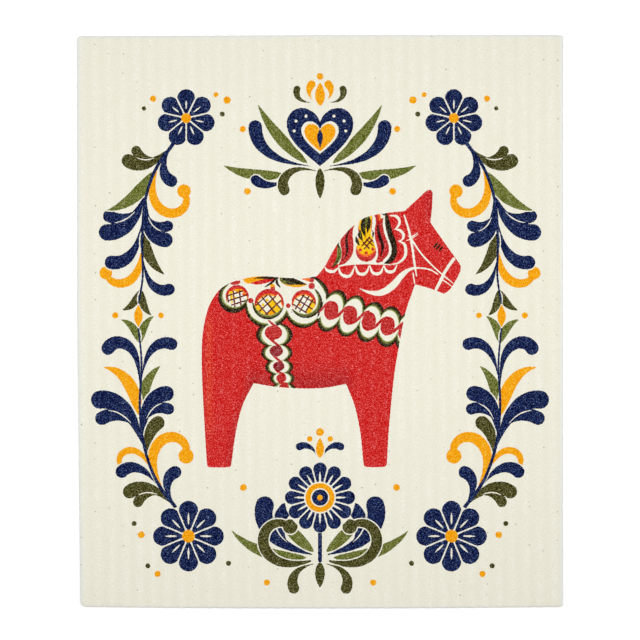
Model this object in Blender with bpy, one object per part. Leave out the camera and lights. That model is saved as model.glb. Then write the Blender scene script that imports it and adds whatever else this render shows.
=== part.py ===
"""A ribbed cellulose sponge cloth lying flat, with its printed face up.

The cloth is one piece. Ribs run along its length, pinched by grooves in both faces. The print is
dye in the upper face, so it is fields of colour on that face and not a layer of its own.
"""

import math

import bmesh
import bpy
from mathutils.geometry import delaunay_2d_cdt

MM = 0.001

# The sheet, all in metres
SHEET_WIDTH = 170 * MM
SHEET_LENGTH = 200.5 * MM
RIB_THICKNESS = 2.0 * MM
CORNER_RADIUS = 1.0 * MM
LOW_LEFT_RADIUS = 2.0 * MM  # the one corner that is cut rounder
LEFT_EDGE_TAPER = 1.1 * MM  # the cut runs in by this much towards the lower left corner
END_BOW = 0.5 * MM  # the lower edge bows out by this much at its middle

# The ribs
RIB_PITCH = 4.84 * MM
RIB_LAND = 1.5 * MM  # the flat top of each rib
UPPER_GROOVE_DEPTH = 0.35 * MM
LOWER_GROOVE_DEPTH = 0.2 * MM

# Where the print stands on the sheet
VINE_EDGE_INSET = 21.5 * MM  # from the side edge to where the two sprays meet
FLOWER_EDGE_INSET = 38.6 * MM  # from the side edge to the centres of the corner flowers
LOWER_FLOWER_INSET = 25.3 * MM  # from the lower edge
UPPER_FLOWER_INSET = 29 * MM  # from the upper edge
HEART_INSET = 46 * MM  # from the upper edge to the point of the heart
BLOOM_INSET = 38.7 * MM  # from the lower edge to the centre of the round flower below the horse
HORSE_SIZE = 91 * MM  # from rump to nose
HORSE_CENTRE = (4 * MM, -2.4 * MM)

# Sizes within the print
LOWER_FLOWER_RADIUS = 11.2 * MM
UPPER_FLOWER_RADIUS = 8.8 * MM
BLOOM_RADIUS = 12.4 * MM
BLOOM_STEM = 20 * MM  # from the round flower's centre down to where its leaves spring
HEART_HEIGHT = 20 * MM
STEM_WIDTH = 0.9 * MM
LEAF_LENGTH = 25 * MM
LEAF_WIDTH = 5 * MM

# Points within this distance of each other are one point in the plan
PLAN_EPSILON = 0.002
ARC_STEPS = 4
DISC_SIDES = 12
STROKE_STEPS = 5

# Half of the heart's outline, from its point up, in shares of its height
HEART_HALF = ((0, 0), (0.18, 0.15), (0.42, 0.38), (0.57, 0.7), (0.44, 0.98), (0.2, 1.0), (0, 0.78))

# Colours as linear RGB
INKS = {
    "undyed": (0.88, 0.86, 0.75),
    "navy": (0.013, 0.024, 0.091),
    "olive": (0.066, 0.062, 0.018),
    "green": (0.14, 0.16, 0.035),
    "ochre": (0.89, 0.41, 0.025),
    "red": (0.64, 0.032, 0.03),
    "wine": (0.33, 0.036, 0.045),
    "yellow": (0.84, 0.55, 0.035),
}

# The horse's outline: runs that meet at its corners, in shares of its size, from its centre
HORSE_RUNS = (
    ((0.389, 0.523), (0.388, 0.466), (0.382, 0.410)),
    ((0.382, 0.410), (0.448, 0.322), (0.497, 0.245)),
    ((0.497, 0.245), (0.490, 0.198), (0.466, 0.149), (0.433, 0.133)),
    ((0.433, 0.133), (0.380, 0.154), (0.323, 0.170)),
    ((0.323, 0.170), (0.290, 0.062), (0.248, -0.160), (0.220, -0.408), (0.212, -0.523)),
    ((0.212, -0.523), (0.202, -0.533), (0.134, -0.533), (0.124, -0.523)),
    ((0.124, -0.523), (0.112, -0.397), (0.092, -0.292), (0.059, -0.213)),
    ((0.059, -0.213), (-0.132, -0.230), (-0.299, -0.210)),
    ((-0.299, -0.210), (-0.366, -0.391), (-0.386, -0.523)),
    ((-0.386, -0.523), (-0.396, -0.534), (-0.470, -0.534), (-0.480, -0.523)),
    ((-0.480, -0.523), (-0.495, -0.281), (-0.500, -0.040), (-0.457, 0.119), (-0.358, 0.187), (-0.25, 0.2)),
    ((-0.250, 0.200), (-0.160, 0.199), (-0.062, 0.201)),
    ((-0.062, 0.201), (0.020, 0.321), (0.125, 0.424), (0.281, 0.452)),
    ((0.281, 0.452), (0.358, 0.525), (0.380, 0.533), (0.389, 0.523)),
)
SADDLE_PATCH = (
    (-0.42, 0.12),
    (-0.34, 0.175),
    (-0.20, 0.185),
    (-0.06, 0.18),
    (-0.02, 0.10),
    (-0.12, 0.02),
    (-0.30, 0.0),
    (-0.43, 0.05),
)
MANE_PATCH = (
    (0.04, 0.29),
    (0.09, 0.36),
    (0.15, 0.41),
    (0.23, 0.425),
    (0.29, 0.39),
    (0.27, 0.26),
    (0.16, 0.24),
)
SADDLE_ROSES = ((-0.366, 0.105, 0.045), (-0.243, 0.095, 0.055), (-0.106, 0.10, 0.045))  # centre and radius
MANE_PLUMES = ((0.08, 66, "red"), (0.13, 80, "yellow"), (0.19, 88, "red"), (0.24, 92, "olive"))
BRIDLE = (
    ((0.290, 0.440), (0.322, 0.170)),
    ((0.465, 0.255), (0.403, 0.148)),
    ((0.310, 0.340), (0.418, 0.206)),
)


def spline(points, steps):
    """Points on a smooth curve through the given ones (Catmull-Rom)."""
    first = tuple(2 * a - b for a, b in zip(points[0], points[1]))
    last = tuple(2 * a - b for a, b in zip(points[-1], points[-2]))
    run = [first, *points, last]
    found = []
    for a, b, c, d in zip(run, run[1:], run[2:], run[3:]):
        for i in range(steps):
            t = i / steps
            shares = (
                (2 * t**2 - t - t**3) / 2,
                (2 - 5 * t**2 + 3 * t**3) / 2,
                (t + 4 * t**2 - 3 * t**3) / 2,
                (t**3 - t**2) / 2,
            )
            found.append(tuple(sum(k * v for k, v in zip(shares, axis)) for axis in zip(a, b, c, d)))
    return [*found, points[-1]]


def swept_path(start, heading, length, turn):
    """A path that leaves start along heading and turns more sharply as it goes. Angles in degrees."""
    x, y = start
    path = [(x, y)]
    for i in range(STROKE_STEPS):
        angle = math.radians(heading + turn * ((i + 0.5) / STROKE_STEPS) ** 1.5)
        x += length / STROKE_STEPS * math.cos(angle)
        y += length / STROKE_STEPS * math.sin(angle)
        path.append((x, y))
    return path


def directions(path):
    """The unit direction at each point of a path."""
    ends = zip([path[0], *path[:-1]], [*path[1:], path[-1]])
    found = []
    for (ax, ay), (bx, by) in ends:
        size = math.hypot(bx - ax, by - ay)
        found.append(((bx - ax) / size, (by - ay) / size))
    return found


def stroke(path, widths, round_head):
    """The outline of a brush stroke: a path with a width at each point, and a round or a plain end."""
    left, right = [], []
    for (x, y), (ux, uy), width in zip(path, directions(path), widths):
        left.append((x - uy * width / 2, y + ux * width / 2))
        right.append((x + uy * width / 2, y - ux * width / 2))
    head = []
    if round_head:
        (x, y), (ux, uy), radius = path[-1], directions(path)[-1], widths[-1] / 2
        for i in range(1, ARC_STEPS):
            turn = math.pi / 2 - math.pi * i / ARC_STEPS
            along, across = radius * math.cos(turn), radius * math.sin(turn)
            head.append((x + ux * along - uy * across, y + uy * along + ux * across))
    return left + head + right[::-1]


def comma_leaf(start, heading, length, turn, width):
    """A comma stroke: a thin tail that swells into a round head."""
    path = swept_path(start, heading, length, turn)
    steps = [i / STROKE_STEPS for i in range(STROKE_STEPS + 1)]
    return stroke(path, [width * (0.08 + 0.92 * math.sin(math.pi / 2 * step)) for step in steps], True)


def petal(start, heading, length, turn, width):
    """A leaf or petal pointed at both ends."""
    path = swept_path(start, heading, length, turn)
    steps = [i / STROKE_STEPS for i in range(STROKE_STEPS + 1)]
    return stroke(path, [width * (0.02 + 0.98 * math.sin(math.pi * step)) for step in steps], False)


def disc(centre, radius):
    turns = [2 * math.pi * i / DISC_SIDES for i in range(DISC_SIDES)]
    return [(centre[0] + radius * math.cos(a), centre[1] + radius * math.sin(a)) for a in turns]


def both_sides(outline):
    """The outline and its mirror image across the sheet's middle."""
    return [outline, [(-x, y) for x, y in reversed(outline)]]


def bezier_point(ends, t):
    """A point on the cubic curve with these four control points, and the heading there in degrees."""
    a, b, c, d = ends
    u = 1 - t
    x, y = (u**3 * p + 3 * u * u * t * q + 3 * u * t * t * r + t**3 * s for p, q, r, s in zip(a, b, c, d))
    dx, dy = (u * u * (q - p) + 2 * u * t * (r - q) + t * t * (s - r) for p, q, r, s in zip(a, b, c, d))
    return (x, y), math.degrees(math.atan2(dy, dx))


def spray(foot, tip, leaves):
    """A stem from a corner flower to where the sprays meet, with its leaves, on both halves of the sheet.

    A leaf is its place along the stem, its side, its length, turn and width, and its ink. Its length
    and width are shares of the frame's usual leaf.
    """
    reach = tip[1] - foot[1]
    bend = (tip[0] - 0.1 * (tip[0] - foot[0]), foot[1] + 0.3 * reach)
    ends = (foot, bend, (tip[0], tip[1] - 0.4 * reach), tip)
    path = [bezier_point(ends, i / (2 * STROKE_STEPS))[0] for i in range(2 * STROKE_STEPS + 1)]
    fields = [(o, "navy") for o in both_sides(stroke(path, [STEM_WIDTH] * len(path), False))]
    for place, side, length, turn, width, ink in leaves:
        start, heading = bezier_point(ends, place)
        leaf = comma_leaf(start, heading + 8 * side, length * LEAF_LENGTH, turn * side, width * LEAF_WIDTH)
        fields += [(o, ink) for o in both_sides(leaf)]
    return fields


def both_centres(centre, radius):
    """An ochre dot on each half of the sheet."""
    return [(o, "ochre") for o in both_sides(disc(centre, radius))]


def petals_round(centre, radius, petals):
    """The petals of a round flower, each as wide as its share of the ring allows."""
    width = 1.5 * radius * math.sin(math.pi / petals)
    found = []
    for i in range(petals):
        heading = 90 + 360 * i / petals
        start = [c + 0.16 * radius * f(math.radians(heading)) for c, f in zip(centre, (math.cos, math.sin))]
        found.append(comma_leaf(start, heading, 0.84 * radius - width / 2, 0, width))
    return found


def flower(centre, radius, petals):
    """Both copies of a corner flower: petals round an ochre heart."""
    fields = [(o, "navy") for one in petals_round(centre, radius, petals) for o in both_sides(one)]
    return fields + both_centres(centre, 0.2 * radius)


def fan(foot, leaves):
    """Leaves that spring to both sides from a point on the sheet's middle line.

    A leaf is its shape, where it starts from the foot, its heading, length, turn and width, and its ink.
    Its lengths are shares of the frame's usual leaf.
    """
    fields = []
    for shape, x, y, heading, length, turn, width, ink in leaves:
        start = (x * LEAF_LENGTH, foot + y * LEAF_LENGTH)
        leaf = shape(start, heading, length * LEAF_LENGTH, turn, width * LEAF_WIDTH)
        fields += [(o, ink) for o in both_sides(leaf)]
    return fields


def heart(point):
    """A heart with leaves at its point and a flame on top, on the sheet's middle line."""
    half = [(x * HEART_HEIGHT, point + y * HEART_HEIGHT) for x, y in spline(HEART_HALF, 2)]
    outline = half + [(-x, y) for x, y in half[-2:0:-1]]
    middle = point + HEART_HEIGHT / 2
    inner = [(0.48 * x, middle + 0.48 * (y - middle)) for x, y in outline]
    fields = fan(
        point,
        (
            (petal, 0.18, 0.04, 38, 1.08, 26, 0.8, "green"),
            (petal, 0.24, -0.07, -10, 1.12, 36, 0.76, "green"),
            (comma_leaf, 0.14, 0.0, 8, 1.04, 84, 0.96, "navy"),
            (comma_leaf, 0.3, -0.13, -28, 0.6, 70, 0.72, "navy"),
            (comma_leaf, 0.04, -0.07, 14, 0.68, -132, 0.76, "olive"),
        ),
    )
    fields += [(petal((0.0, point), -90, 0.44 * LEAF_LENGTH, 0, 0.64 * LEAF_WIDTH), "olive")]
    fields += [(outline, "navy"), (inner, "ochre")]
    top = point + 1.03 * HEART_HEIGHT
    fields += [(petal((0.0, top), 90, 0.34 * LEAF_LENGTH, 0, 0.68 * LEAF_WIDTH), "ochre")]
    return fields + fan(top, ((comma_leaf, 0.04, 0.0, 42, 0.34, 92, 0.56, "ochre"),))


def bloom(middle):
    """The round flower below the horse, on a short stem with arching leaves."""
    foot = middle - BLOOM_STEM
    fields = fan(
        foot,
        (
            (petal, 0.09, 0.04, 40, 1.08, -20, 0.8, "green"),
            (comma_leaf, 0.1, 0.0, 16, 1.08, 92, 1.28, "navy"),
            (petal, 0.18, -0.04, 0, 1.16, 50, 0.8, "green"),
            (comma_leaf, 0.14, -0.09, -14, 1.2, 170, 0.66, "olive"),
            (comma_leaf, 0.08, -0.13, -12, 0.52, -105, 0.76, "olive"),
        ),
    )
    stem = stroke([(0.0, foot - 0.08 * LEAF_LENGTH), (0.0, middle)], [1.4 * STEM_WIDTH] * 2, False)
    leaf = petal((0.0, foot - 0.06 * LEAF_LENGTH), -90, 0.38 * LEAF_LENGTH, 0, 0.68 * LEAF_WIDTH)
    fields += [(stem, "navy"), (leaf, "olive"), (disc((0.0, middle), BLOOM_RADIUS), "undyed")]
    fields += [(one, "navy") for one in petals_round((0.0, middle), BLOOM_RADIUS, 12)]
    for share, ink in ((0.45, "undyed"), (0.41, "ochre"), (0.23, "navy")):
        fields += [(disc((0.0, middle), share * BLOOM_RADIUS), ink)]
    top = middle + 1.1 * BLOOM_RADIUS
    fields += [(petal((0.0, top), 90, 0.3 * LEAF_LENGTH, 0, 0.56 * LEAF_WIDTH), "ochre")]
    return fields + fan(top, ((comma_leaf, 0.03, 0.02, 66, 0.34, -95, 0.52, "navy"),))


def on_horse(point):
    return tuple(c + HORSE_SIZE * v for c, v in zip(HORSE_CENTRE, point))


def links(start, end, count, radius):
    """A harness strap: pale rounds in a row with a wine-red disc in each."""
    fields = []
    for i in range(count):
        t = (i + 0.5) / count
        centre = on_horse([a + (b - a) * t for a, b in zip(start, end)])
        fields += [(disc(centre, radius * HORSE_SIZE), "undyed")]
        fields += [(disc(centre, radius * HORSE_SIZE / 2), "wine")]
    return fields


def harness():
    """The saddle, the mane, the straps and the bridle, as flat fields."""
    fields = []
    for patch in (SADDLE_PATCH, MANE_PATCH):
        fields += [([on_horse(p) for p in spline([*patch, patch[0]], 2)[:-1]], "undyed")]
    for x, y, radius in SADDLE_ROSES:
        fields += [(disc(on_horse((x, y)), radius * HORSE_SIZE), "red")]
        fields += [(disc(on_horse((x, y)), radius * HORSE_SIZE / 2), "yellow")]
    for x, heading, ink in MANE_PLUMES:
        fields += [(petal(on_horse((x, 0.27)), heading, 0.14 * HORSE_SIZE, 0, 0.05 * HORSE_SIZE), ink)]
    fields += links((-0.04, 0.075), (0.33, -0.075), 5, 0.045)
    fields += links((-0.225, 0.03), (-0.19, -0.26), 4, 0.034)
    for strap in BRIDLE:
        fields += [(stroke([on_horse(p) for p in strap], [STEM_WIDTH] * 2, False), "undyed")]
    return fields


def horse():
    """A painted wooden horse of the traditional kind, seen from its right side."""
    outline = []
    for run in HORSE_RUNS:
        outline += [on_horse(p) for p in spline(run, ARC_STEPS)[:-1]]
    return [(outline, "red", None)] + [(shape, ink, outline) for shape, ink in harness()]


def print_fields():
    """Every field of colour in printing order: an outline, its ink and the outline that it stays inside."""
    half_width, half_length = SHEET_WIDTH / 2, SHEET_LENGTH / 2
    low_flower = (half_width - FLOWER_EDGE_INSET, LOWER_FLOWER_INSET - half_length)
    high_flower = (half_width - FLOWER_EDGE_INSET, half_length - UPPER_FLOWER_INSET)
    meeting = half_width - VINE_EDGE_INSET
    low_foot = (low_flower[0] + LOWER_FLOWER_RADIUS / 2, low_flower[1] + LOWER_FLOWER_RADIUS)
    high_foot = (high_flower[0] + UPPER_FLOWER_RADIUS / 2, high_flower[1] - UPPER_FLOWER_RADIUS)
    fields = spray(
        low_foot,
        (meeting, -0.5 * LEAF_WIDTH),
        (
            (0.92, 1, 0.44, 62, 0.56, "green"),
            (0.92, -1, 0.44, 62, 0.56, "green"),
            (0.72, -1, 0.92, 140, 0.96, "navy"),
            (0.76, 1, 0.72, 105, 0.84, "navy"),
            (0.58, 1, 0.72, 48, 0.76, "green"),
            (0.56, -1, 0.92, 78, 0.88, "ochre"),
            (0.41, -1, 0.96, 78, 1.28, "navy"),
            (0.44, 1, 0.8, 88, 1.08, "navy"),
            (0.3, 1, 0.64, 66, 0.96, "olive"),
            (0.17, -1, 0.64, 100, 0.88, "navy"),
            (0.16, 1, 1.1, 160, 0.72, "ochre"),
            (0.03, -1, 0.68, 82, 0.96, "olive"),
        ),
    )
    fields += spray(
        high_foot,
        (meeting, 1.3 * LEAF_WIDTH),
        (
            (0.9, 1, 0.4, 60, 0.56, "olive"),
            (0.9, -1, 0.4, 60, 0.56, "olive"),
            (0.66, 1, 0.8, 130, 0.64, "ochre"),
            (0.7, -1, 0.64, 105, 0.8, "navy"),
            (0.5, 1, 0.8, 92, 0.96, "navy"),
            (0.54, -1, 0.72, 52, 0.76, "olive"),
            (0.35, 1, 0.84, 72, 1.16, "navy"),
            (0.38, -1, 0.72, 92, 1.04, "navy"),
            (0.22, 1, 0.88, 48, 0.88, "green"),
            (0.2, -1, 1.05, 160, 0.68, "ochre"),
            (0.05, 1, 0.64, 82, 0.96, "olive"),
        ),
    )
    fields += flower(low_flower, LOWER_FLOWER_RADIUS, 8) + flower(high_flower, UPPER_FLOWER_RADIUS, 7)
    fields += both_centres((meeting, 0.4 * LEAF_WIDTH), 0.3 * LEAF_WIDTH)
    fields += heart(half_length - HEART_INSET) + bloom(BLOOM_INSET - half_length)
    return [(shape, ink, None) for shape, ink in fields] + horse()


def rounded_corner(corner, before, after, radius):
    """The arc that rounds a corner off, from the edge that comes before it to the one after."""
    found = []
    for neighbour in (before, after):
        size = math.dist(corner, neighbour)
        found.append(tuple(c + radius * (n - c) / size for c, n in zip(corner, neighbour)))
    start, end = found
    arc = []
    for i in range(ARC_STEPS + 1):
        t = i / ARC_STEPS
        shares = ((1 - t) ** 2, 2 * t * (1 - t), t * t)
        arc.append(tuple(sum(k * v for k, v in zip(shares, axis)) for axis in zip(start, corner, end)))
    return arc


def sheet_outline():
    """The cut edge of the sheet, anticlockwise from its lower left corner."""
    right, top = SHEET_WIDTH / 2, SHEET_LENGTH / 2
    low_left, low_right = (LEFT_EDGE_TAPER - right, END_BOW - top), (right, END_BOW - top)
    corners = [low_left, low_right, (right, top), (-right, top)]
    elbow = (-right, LEFT_EDGE_TAPER)  # where the left edge starts to run in
    middle = (0.0, -top)
    neighbours = ((elbow, middle), (middle, corners[2]), (corners[1], corners[3]), (corners[2], elbow))
    radii = (LOW_LEFT_RADIUS, CORNER_RADIUS, CORNER_RADIUS, CORNER_RADIUS)
    arcs = [rounded_corner(c, *beside, radius) for c, beside, radius in zip(corners, neighbours, radii)]
    lower_edge = spline([arcs[0][-1], middle, arcs[1][0]], ARC_STEPS)[1:-1]
    return [*arcs[0], *lower_edge, *arcs[1], *arcs[2], *arcs[3], elbow]


def rib_lines():
    """Where the section of the ribs changes slope, as places across the sheet."""
    ribs = math.ceil(SHEET_WIDTH / RIB_PITCH / 2)
    found = []
    for i in range(-ribs, ribs + 1):
        rib = i * RIB_PITCH
        found += [rib - RIB_LAND / 2, rib + RIB_LAND / 2, rib + RIB_PITCH / 2]
    return [x for x in found if abs(x) < SHEET_WIDTH / 2 - RIB_LAND / 3]


def groove_share(x):
    """How deep the groove is at x: 0 on a rib's land, then straight down to 1 midway between two ribs."""
    from_rib = abs((x / RIB_PITCH + 0.5) % 1.0 - 0.5) * RIB_PITCH
    return max(0.0, (from_rib - RIB_LAND / 2) / (RIB_PITCH / 2 - RIB_LAND / 2))


def holds(outline, x, y):
    """Whether a closed outline holds a point, by how many of its sides a ray from it crosses."""
    crossings = 0
    for (ax, ay), (bx, by) in zip(outline, [*outline[1:], outline[0]]):
        if (ay > y) != (by > y) and x < ax + (y - ay) / (by - ay) * (bx - ax):
            crossings += 1
    return crossings % 2 == 1


def triangulated(points, edges):
    """The points and triangles of a flat plan that keeps all these edges. It works in millimetres."""
    plan = [(x / MM, y / MM) for x, y in points]
    found, _, faces, *_ = delaunay_2d_cdt(plan, edges, [], 0, PLAN_EPSILON)
    return [(x * MM, y * MM) for x, y in found], [tuple(f) for f in faces]


def ring_edges(start, count):
    return [(start + i, start + (i + 1) % count) for i in range(count)]


def upper_plan(outline, fields):
    """The plan of the printed face: its points, its triangles and the ink of each triangle."""
    points = list(outline)
    edges = ring_edges(0, len(outline))
    for x in rib_lines():
        edges.append((len(points), len(points) + 1))
        points += [(x, -SHEET_LENGTH), (x, SHEET_LENGTH)]
    for shape, *_ in fields:
        edges += ring_edges(len(points), len(shape))
        points += shape
    points, triangles = triangulated(points, edges)
    boxes = []
    for shape, ink, within in fields:
        xs, ys = zip(*shape)
        boxes.append((min(xs), max(xs), min(ys), max(ys), shape, ink, within))
    kept, inks = [], []
    for triangle in triangles:
        x, y = (sum(points[i][axis] for i in triangle) / len(triangle) for axis in (0, 1))
        if not holds(outline, x, y):
            continue
        ink = "undyed"
        for low_x, high_x, low_y, high_y, shape, printed, within in boxes:
            if not (low_x < x < high_x and low_y < y < high_y and holds(shape, x, y)):
                continue
            if within is None or holds(within, x, y):
                ink = printed
        kept.append(triangle)
        inks.append(ink)
    return points, kept, inks


def rim_of(triangles):
    """The open edges round some triangles, in the direction in which the triangles turn."""
    sides = [side for f in triangles for side in zip(f, [*f[1:], f[0]])]
    known = set(sides)
    return [(a, b) for a, b in sides if (b, a) not in known]


def lower_plan(points, rim):
    """The plan of the plain face: it has the same rim, and only the grooves inside it."""
    order = sorted({i for side in rim for i in side})
    place = {old: new for new, old in enumerate(order)}
    edges = [(place[a], place[b]) for a, b in rim]
    for x in rib_lines():
        ends = [i for i in order if abs(points[i][0] - x) < PLAN_EPSILON * MM]
        ends.sort(key=lambda i: points[i][1])
        if len(ends) > 1:
            edges.append((place[ends[0]], place[ends[-1]]))
    flat, triangles = triangulated([points[i] for i in order], edges)
    outline = [points[i] for i, _ in chained(rim)]
    inside = []
    for triangle in triangles:
        x, y = (sum(flat[i][axis] for i in triangle) / len(triangle) for axis in (0, 1))
        if holds(outline, x, y):
            inside.append(tuple(order[i] for i in triangle))
    return inside


def chained(rim):
    """The rim's sides in order round the sheet."""
    following = dict(rim)
    start = rim[0][0]
    found = [(start, following[start])]
    while found[-1][1] != start:
        found.append((found[-1][1], following[found[-1][1]]))
    return found


def ink_material(name, colour):
    material = bpy.data.materials.new("cellulose_" + name)
    material.use_nodes = True
    shader = material.node_tree.nodes["Principled BSDF"]
    shader.inputs["Base Color"].default_value = (*colour, 1.0)
    shader.inputs["Roughness"].default_value = 0.95
    shader.inputs["Metallic"].default_value = 0.0
    material.diffuse_color = (*colour, 1.0)
    return material


def sponge_cloth():
    """The whole cloth: a printed face, a plain face and the cut edge between them."""
    outline = sheet_outline()
    points, upper, inks = upper_plan(outline, print_fields())
    rim = rim_of(upper)
    lower = lower_plan(points, rim)
    slots = list(INKS)
    body = bmesh.new()
    top, bottom = {}, {}
    for i in sorted({i for f in upper for i in f}):
        x, y = points[i]
        top[i] = body.verts.new((x, y, RIB_THICKNESS - UPPER_GROOVE_DEPTH * groove_share(x)))
    for i in sorted({i for side in rim for i in side}):
        x, y = points[i]
        bottom[i] = body.verts.new((x, y, LOWER_GROOVE_DEPTH * groove_share(x)))
    for triangle, ink in zip(upper, inks):
        face = body.faces.new([top[i] for i in triangle])
        face.material_index = slots.index(ink)
    for triangle in lower:
        body.faces.new([bottom[i] for i in reversed(triangle)])
    for a, b in rim:
        body.faces.new((bottom[a], bottom[b], top[b], top[a]))
    bmesh.ops.recalc_face_normals(body, faces=body.faces)
    mesh = bpy.data.meshes.new("sponge_cloth")
    body.to_mesh(mesh)
    body.free()
    for name, colour in INKS.items():
        mesh.materials.append(ink_material(name, colour))
    return bpy.data.objects.new("sponge_cloth", mesh)


def main():
    for old in list(bpy.data.objects):
        bpy.data.objects.remove(old, do_unlink=True)
    collection = bpy.data.collections.new("sponge_cloth")
    bpy.context.scene.collection.children.link(collection)
    collection.objects.link(sponge_cloth())


main()
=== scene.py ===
# Sponge cloth: one ribbed sheet of cellulose and cotton, printed with dye on its upper face.
# Plan sizes are in millimetres from the middle of the sheet, until the mesh is made in metres.
import math
import bpy
import numpy as np
from mathutils.geometry import delaunay_2d_cdt
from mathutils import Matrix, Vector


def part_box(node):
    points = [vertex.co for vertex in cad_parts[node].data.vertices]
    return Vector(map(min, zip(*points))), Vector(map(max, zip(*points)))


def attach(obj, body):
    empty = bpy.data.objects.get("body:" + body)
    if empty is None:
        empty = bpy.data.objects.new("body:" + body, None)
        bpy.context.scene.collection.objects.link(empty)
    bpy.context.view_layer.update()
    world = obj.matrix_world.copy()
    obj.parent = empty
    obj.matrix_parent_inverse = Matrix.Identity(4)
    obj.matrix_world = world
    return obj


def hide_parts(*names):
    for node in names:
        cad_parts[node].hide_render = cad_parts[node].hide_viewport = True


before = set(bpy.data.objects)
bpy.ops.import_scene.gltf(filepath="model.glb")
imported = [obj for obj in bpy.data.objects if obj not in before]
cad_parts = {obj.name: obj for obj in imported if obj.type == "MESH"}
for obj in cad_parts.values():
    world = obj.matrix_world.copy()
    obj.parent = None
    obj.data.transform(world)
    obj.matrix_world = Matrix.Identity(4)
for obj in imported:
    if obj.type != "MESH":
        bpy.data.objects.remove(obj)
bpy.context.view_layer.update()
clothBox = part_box("sponge_cloth")
mm = 0.001
print("frame loaded")

inkHex = {  # the dyes and the bare cloth as the eye sees them, in sRGB
    "cloth": "#F1EFE0",
    "navy": "#041749",
    "green": "#686F2C",
    "olive": "#484616",
    "ochre": "#F0A200",
    "red": "#CB221F",
    "rose": "#BB2725",  # the red of the small discs
    "wine": "#8D242B",
    "maroon": "#5E0E0D",
    "orange": "#EC6C1C",
    "yellow": "#F1C008",
    "pale": "#F1E7BC",
    "dark": "#241702",
    "umber": "#1E0200",
    "sage": "#A9B26C",  # green run thin against bare cloth
    "white": "#EFECDC",  # bare cloth inside the horse
}
inkNames = list(inkHex)


def linear(hexColour):
    # sRGB to linear: the low part is a line, the rest a power of 2.4
    c = np.array([int(hexColour[i : i + 2], 16) for i in (1, 3, 5)]) / 255
    return np.where(c <= 0.04045, c / 12.92, ((c + 0.055) / 1.055) ** 2.4)


# strokes
shapes = []  # (outline, ink, the outline that it stays inside or None), in the order of printing


def splineThrough(points, perSpan=10, closed=False):
    # Catmull-Rom: each span blends its two ends and the slopes that their neighbours give
    p = np.array(points, float)
    p = np.vstack([p[-1], p, p[0], p[1]] if closed else [2 * p[0] - p[1], p, 2 * p[-1] - p[-2]])
    t = np.linspace(0, 1, perSpan, endpoint=False)[:, None]
    a, b, c, d = p[:-3, None], p[1:-2, None], p[2:-1, None], p[3:, None]
    s = 0.5 * (2 * b + (c - a) * t + (2 * a - 5 * b + 4 * c - d) * t**2 + (3 * b - a - 3 * c + d) * t**3)
    s = s.reshape(-1, 2)
    return s if closed else np.vstack([s, p[-2]])


def sweep(start, heading, length, turn, power, count):
    # a path of equal steps whose heading has turned by turn * (share of the way) ** power
    share = (np.arange(count - 1) + 0.5) / (count - 1)
    angle = np.radians(heading + turn * share**power)
    steps = np.stack([np.cos(angle), np.sin(angle)], 1) * length / (count - 1)
    return np.array(start, float) + np.vstack([[0, 0], np.cumsum(steps, axis=0)])


def brush(path, widths, cap=True):
    # the path moved half the width to each side, closed by half circles where the ends are wide
    path = np.asarray(path, float)
    along = np.gradient(path, axis=0)
    along /= np.linalg.norm(along, axis=1)[:, None] + 1e-12
    side = np.stack([-along[:, 1], along[:, 0]], 1)
    half = np.broadcast_to(np.asarray(widths, float), (len(path),))[:, None] / 2
    parts = [path + side * half]
    turn = np.linspace(np.pi / 2, -np.pi / 2, 11)[1:-1, None]
    if cap and half[-1, 0] > 0.05:
        parts.append(path[-1] + half[-1] * (along[-1] * np.cos(turn) + side[-1] * np.sin(turn)))
    parts.append((path - side * half)[::-1])
    if cap and half[0, 0] > 0.3:
        parts.append(path[0] - half[0] * (along[0] * np.cos(turn) + side[0] * np.sin(turn)))
    outline = np.vstack(parts)
    return outline[np.linalg.norm(outline - np.roll(outline, 1, axis=0), axis=1) > 1e-4]


def ellipse(centre, rx, ry, tilt=0, count=36):
    # x is rx * cos(a) and y is ry * sin(a), turned by the tilt about the centre
    a = np.linspace(0, 2 * np.pi, count, endpoint=False)
    k, s = math.cos(math.radians(tilt)), math.sin(math.radians(tilt))
    level = np.stack([rx * np.cos(a), ry * np.sin(a)], 1)
    return np.array(centre, float) + level @ np.array([[k, s], [-s, k]])


def disc(centre, radius, count=36):
    return ellipse(centre, radius, radius, 0, count)


def put(outline, ink, both=False, inside=None):
    # prints a shape over all that came before
    outline = np.asarray(outline, float)
    shapes.append((outline, ink, inside))
    if both:  # the mirror image on the other half of the sheet
        shapes.append(((outline * [-1, 1])[::-1], ink, inside))


def paint(path, widths, ink, both=True, cap=True):
    # a stroke with a thin bare gap round it, as the print leaves between two inks
    put(brush(path, widths + 2 * frameArt["gap"]), "cloth", both)
    put(brush(path, widths, cap), ink, both)


def pointAt(path, share):
    # the point at that share of the way along the path, and the path's heading there
    i = min(int(share * (len(path) - 1)), len(path) - 2)
    step = path[i + 1] - path[i]
    return path[i] + step * (share * (len(path) - 1) - i), math.degrees(math.atan2(step[1], step[0]))


def beside(point, heading, side, gap):
    # the point moved by the gap at right angles to the heading
    a = math.radians(heading + 90 * side)
    return point + gap * np.array([math.cos(a), math.sin(a)])


# Each stroke starts at p with heading h, bends to its side (1 is left) and has a twin on the other half.
def comma(p, h, side, length, turn, width, ink, power=1.6):
    # a thin tail that swells as the sine of the way gone, to a round head
    path = sweep(p, h, length, side * turn, power, 26)
    t = np.linspace(0, 1, 26)
    paint(path, width * (0.04 + 0.96 * np.sin(np.pi / 2 * t**1.5)), ink)


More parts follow.
